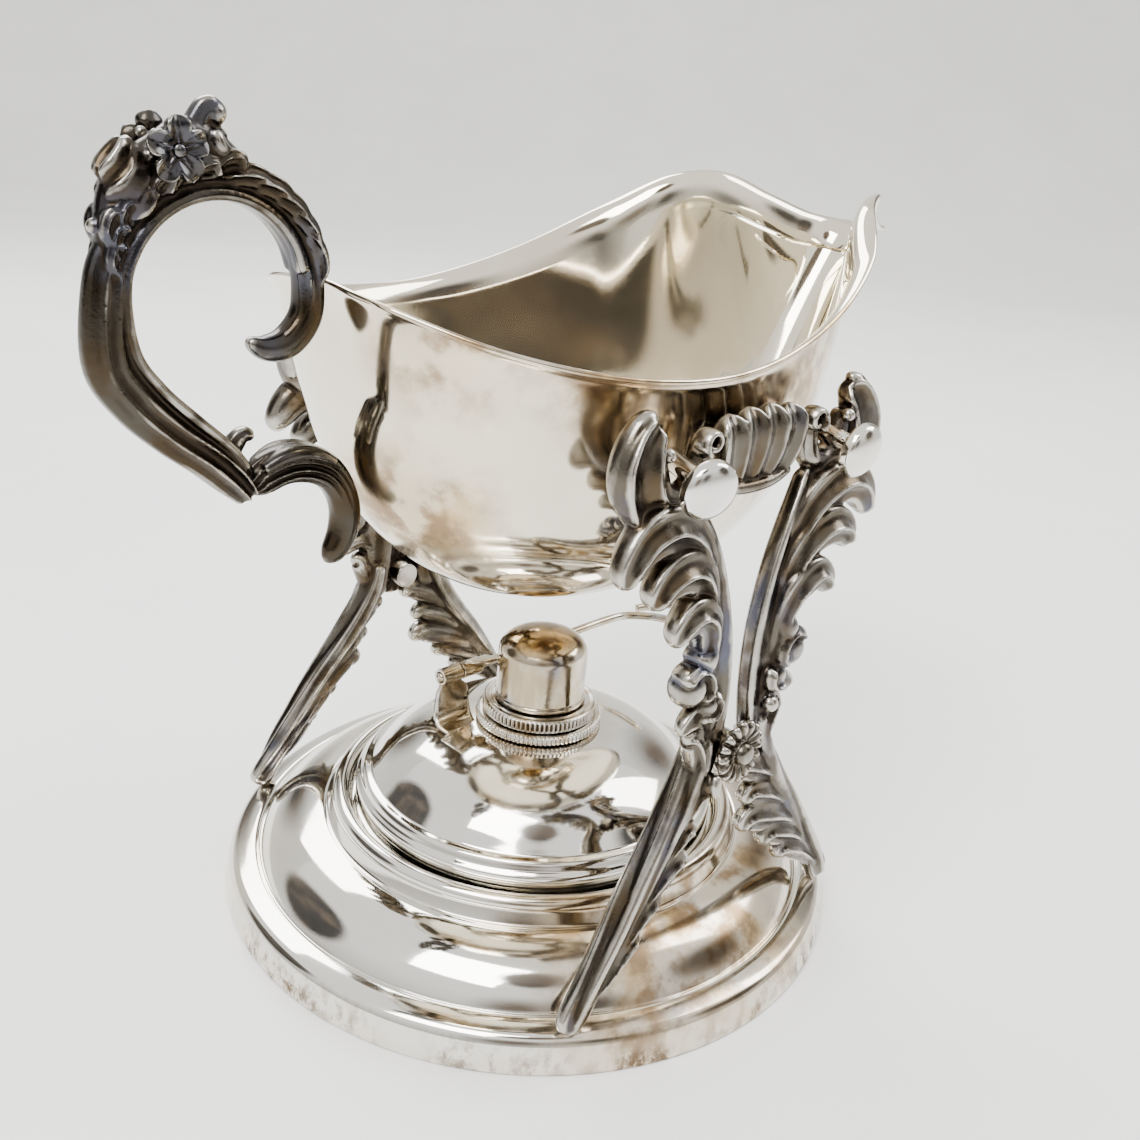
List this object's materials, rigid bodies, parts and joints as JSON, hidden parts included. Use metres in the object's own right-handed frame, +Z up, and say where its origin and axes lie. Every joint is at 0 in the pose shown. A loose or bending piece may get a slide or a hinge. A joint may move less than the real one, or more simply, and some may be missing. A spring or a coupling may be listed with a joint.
{
  "type": "sauce boat",
  "caption": "Sauce boat with a scroll handle and pinched spout, resting by side studs in a cast stand over a spirit burner with a hinged snuffer.",
  "frame": {"origin": "on the surface it stands on, under the middle of the whole object's length and width", "axes": "+X towards the spout, +Y to the left side, +Z up; the handle points along -X"},
  "size_m": [0.2265, 0.155, 0.1869],
  "materials": {
    "polished_silver": "mirror polish, lightly tarnished",
    "oxidised_silver": "cast and chased, dark in the hollows, bright on the edges",
    "heat_tinted_silver": "polished, tinted gold and blue by heat",
    "knurled_silver": "straight knurl, satin",
    "cotton": "braided cotton"
  },
  "bodies": {
    "stand": {"base_dish": "polished_silver", "leg_front_right": "oxidised_silver", "leg_front_left": "oxidised_silver", "leg_rear_right": "oxidised_silver", "leg_rear_left": "oxidised_silver", "shell_bridge_right": "oxidised_silver", "shell_bridge_left": "oxidised_silver", "waist_flower_right": "oxidised_silver", "waist_flower_left": "oxidised_silver"},
    "burner": {"font_dome": "polished_silver", "font_pan": "polished_silver", "neck_flange": "polished_silver", "snuffer_bracket": "polished_silver"},
    "wick_holder": {"knurled_collar": "knurled_silver", "wick_tube": "polished_silver", "wick": "cotton"},
    "snuffer": {"snuffer_cap": "heat_tinted_silver", "snuffer_strap": "heat_tinted_silver", "snuffer_rod": "heat_tinted_silver"},
    "front_pins": {"stud_front_right": "polished_silver", "stud_front_left": "polished_silver"},
    "boat": {"bowl": "polished_silver", "handle": "oxidised_silver", "handle_scroll": "oxidised_silver", "handle_flower_right": "oxidised_silver", "handle_flower_left": "oxidised_silver", "stud_rear_right": "polished_silver", "stud_rear_left": "polished_silver"}
  },
  "joints": [
    {"name": "burner_lift", "type": "slide", "parent": "stand", "child": "burner", "axis": [0, 0, 1], "range_m": [0, 0.006]},
    {"name": "collar_turn", "type": "hinge", "parent": "burner", "child": "wick_holder", "pos_m": [-0.00275, 0, 0.0454], "axis": [0, 0, 1], "continuous": true},
    {"name": "snuffer_swing", "type": "hinge", "parent": "burner", "child": "snuffer", "pos_m": [-0.00275, 0.0135, 0.0545], "axis": [-1, 0, 0], "range_deg": [0, 105]},
    {"name": "boat_lift", "type": "slide", "parent": "stand", "child": "front_pins", "axis": [0, 0, 1], "range_m": [0, 0.065]},
    {"name": "boat_tilt", "type": "hinge", "parent": "front_pins", "child": "boat", "pos_m": [0.02169, 0, 0.12809], "axis": [0, 1, 0], "range_deg": [0, 40]}
  ]
}
